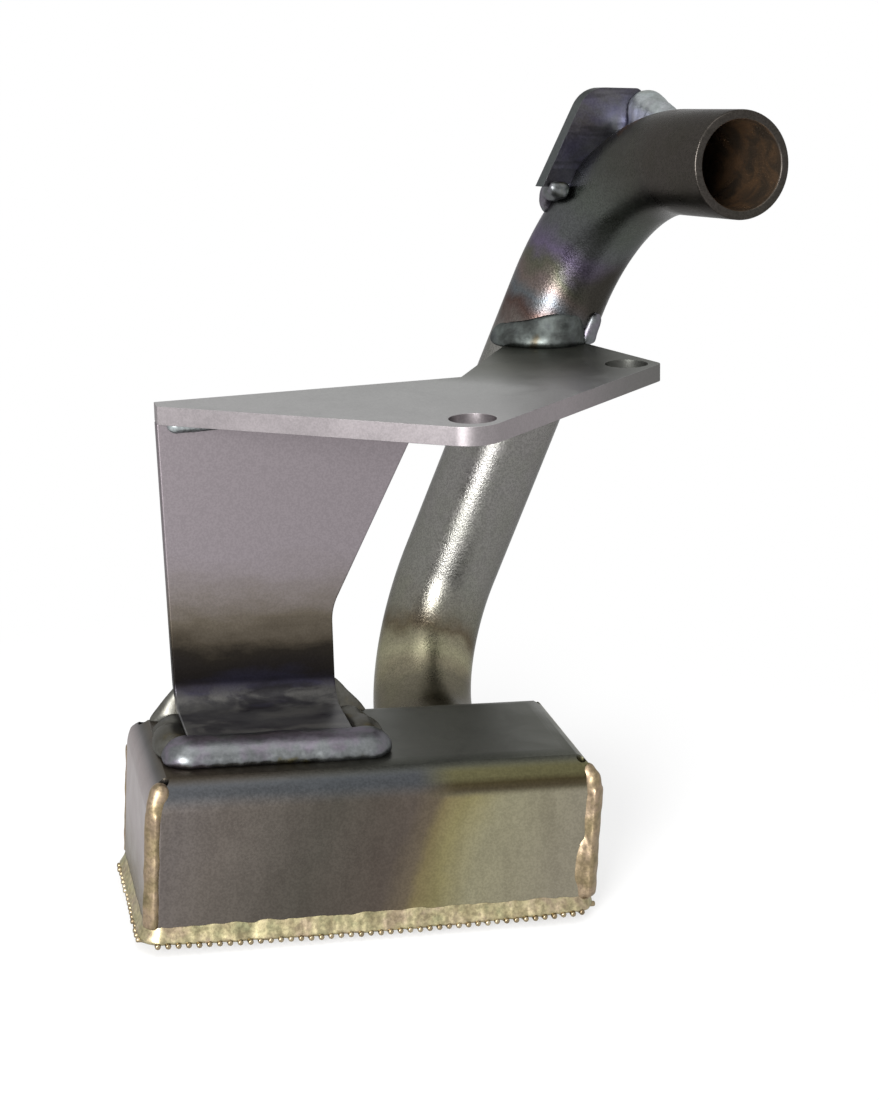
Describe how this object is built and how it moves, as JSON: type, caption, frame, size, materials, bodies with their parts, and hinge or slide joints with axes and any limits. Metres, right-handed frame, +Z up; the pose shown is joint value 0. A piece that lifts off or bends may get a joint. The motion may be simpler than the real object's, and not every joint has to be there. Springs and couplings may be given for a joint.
{
  "type": "oil pickup tube",
  "caption": "Welded engine oil pickup: screened sheet-metal box, bent suction tube, folded support web, flat bolt-on mounting plate and a drive tab on the tube's upper bend.",
  "frame": {"origin": "midway between the two bolt holes, on the mounting plate's top face", "axes": "+Z up as the pickup stands on its screen, +X along the box to the tube's side, -Y the front that the tube's open end faces"},
  "size_m": [0.1122, 0.0862, 0.1382],
  "materials": {
    "box_sheet": "bare sheet steel with heat tint from the corner brazing",
    "screen_wire": "woven wire, straw tinted at the brazed edge",
    "braze": "as-laid braze, gold to rose",
    "tube_steel": "dark mill finish, heat tinted near the welds",
    "plate_steel": "satin bare steel",
    "web_steel": "satin bare steel, darkened by heat at the fold",
    "tab_steel": "dark blued steel",
    "weld_metal": "as-laid weld bead, bright and oxide tinted"
  },
  "bodies": {
    "root": {"pickup_box": "box_sheet", "screen": "screen_wire", "screen_braze": "braze", "corner_weld_front_left": "braze", "corner_weld_front_right": "braze", "corner_weld_rear_left": "braze", "corner_weld_rear_right": "braze", "pickup_tube": "tube_steel", "tube_box_weld": "weld_metal", "mounting_plate": "plate_steel", "tube_plate_weld": "weld_metal", "tube_plate_tack": "weld_metal", "support_web": "web_steel", "web_plate_weld": "weld_metal", "web_plate_tack": "weld_metal", "foot_weld_front": "weld_metal", "foot_weld_left": "weld_metal", "foot_weld_right": "weld_metal", "drive_tab": "tab_steel", "tab_weld_upper": "weld_metal", "tab_weld_lower": "weld_metal"}
  },
  "joints": []
}
